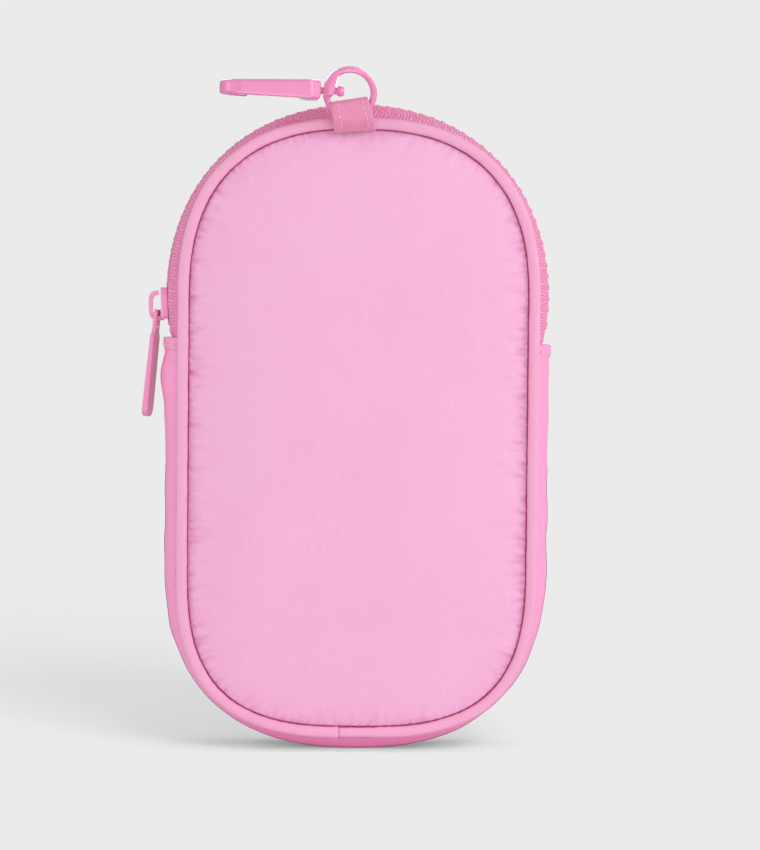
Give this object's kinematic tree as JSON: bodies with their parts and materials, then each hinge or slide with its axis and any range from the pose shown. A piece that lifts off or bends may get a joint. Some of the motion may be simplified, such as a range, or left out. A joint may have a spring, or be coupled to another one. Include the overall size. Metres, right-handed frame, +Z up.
{
  "type": "clip-on zip pouch",
  "caption": "Small upright padded pouch with an arched zip, piped panels, a hang tab and a swivel snap hook on a ring; front flap, zip slider, puller, ring, hook and gate move",
  "frame": {"origin": "Middle of the small flat under the rounded base, where the pouch stands", "axes": "X to the right seen from the front, Y from the front panel to the back panel, Z up"},
  "size_m": [0.1142, 0.038, 0.1891],
  "materials": {
    "front_panel_upper": "satin nylon",
    "front_panel_lower": "satin nylon",
    "back_panel": "satin nylon",
    "front_lining_upper": "plain weave",
    "front_lining_lower": "plain weave",
    "back_lining": "plain weave",
    "gusset_lining": "plain weave",
    "front_piping_upper": "satin bias binding",
    "front_piping_lower": "satin bias binding",
    "back_piping": "satin bias binding",
    "gusset": "satin nylon",
    "hang_tab": "satin nylon",
    "zip_tape_back": "woven herringbone",
    "zip_tape_front": "woven herringbone",
    "zip_tape_front_left": "woven herringbone",
    "zip_tape_front_right": "woven herringbone",
    "zip_teeth_back": "moulded",
    "zip_teeth_front": "moulded",
    "zip_teeth_front_left": "moulded",
    "zip_teeth_front_right": "moulded",
    "zip_top_stop_front": "moulded",
    "zip_top_stop_back": "moulded",
    "zip_bottom_stop": "moulded",
    "slider_body": "satin paint",
    "puller": "satin paint",
    "clasp_ring": "satin paint",
    "swivel_post": "satin paint",
    "hook_body": "satin paint",
    "hook_gate": "satin paint",
    "gate_pin": "plain",
    "gate_spring": "plain"
  },
  "bodies": {
    "pouch": {"back_panel": "back_panel", "back_lining": "back_lining", "back_piping": "back_piping", "gusset": "gusset", "gusset_lining": "gusset_lining", "front_panel_lower": "front_panel_lower", "front_lining_lower": "front_lining_lower", "front_piping_lower": "front_piping_lower", "zip_tape_back": "zip_tape_back", "zip_tape_front_left": "zip_tape_front_left", "zip_tape_front_right": "zip_tape_front_right", "zip_teeth_back": "zip_teeth_back", "zip_teeth_front_left": "zip_teeth_front_left", "zip_teeth_front_right": "zip_teeth_front_right", "zip_top_stop_front": "zip_top_stop_front", "zip_top_stop_back": "zip_top_stop_back", "zip_bottom_stop": "zip_bottom_stop"},
    "front_flap": {"front_panel_upper": "front_panel_upper", "front_lining_upper": "front_lining_upper", "front_piping_upper": "front_piping_upper", "zip_tape_front": "zip_tape_front", "zip_teeth_front": "zip_teeth_front", "hang_tab": "hang_tab"},
    "slider": {"slider_body": "slider_body"},
    "puller": {"puller": "puller"},
    "ring": {"clasp_ring": "clasp_ring"},
    "hook": {"hook_body": "hook_body", "swivel_post": "swivel_post", "gate_pin": "gate_pin"},
    "gate": {"hook_gate": "hook_gate", "gate_spring": "gate_spring"}
  },
  "joints": [
    {"name": "flap_hinge", "type": "hinge", "parent": "pouch", "child": "front_flap", "pos_m": [0, -0.0168, 0.13069], "axis": [1, 0, 0], "range_deg": [0, 45]},
    {"name": "slider_run", "type": "hinge", "parent": "pouch", "child": "slider", "pos_m": [0, 0, 0.1262], "axis": [0, 1, 0], "range_deg": [0, 182]},
    {"name": "puller_swing", "type": "hinge", "parent": "slider", "child": "puller", "pos_m": [-0.05589, 0, 0.12136], "axis": [0, 1, 0], "range_deg": [-3, 120]},
    {"name": "ring_swing", "type": "hinge", "parent": "front_flap", "child": "ring", "pos_m": [-0.0032, -0.0155, 0.1817], "axis": [0, 1, 0], "range_deg": [0, 120]},
    {"name": "hook_swivel", "type": "hinge", "parent": "ring", "child": "hook", "pos_m": [-0.00319, -0.0155, 0.1822], "axis": [0.9997, 0, -0.0227], "continuous": true},
    {"name": "gate_swing", "type": "hinge", "parent": "hook", "child": "gate", "pos_m": [-0.01542, -0.01118, 0.18248], "axis": [0.0227, 0, 0.9997], "range_deg": [0, 22], "stiffness_Nm_per_rad": 0.01, "springref_deg": -20.05}
  ]
}
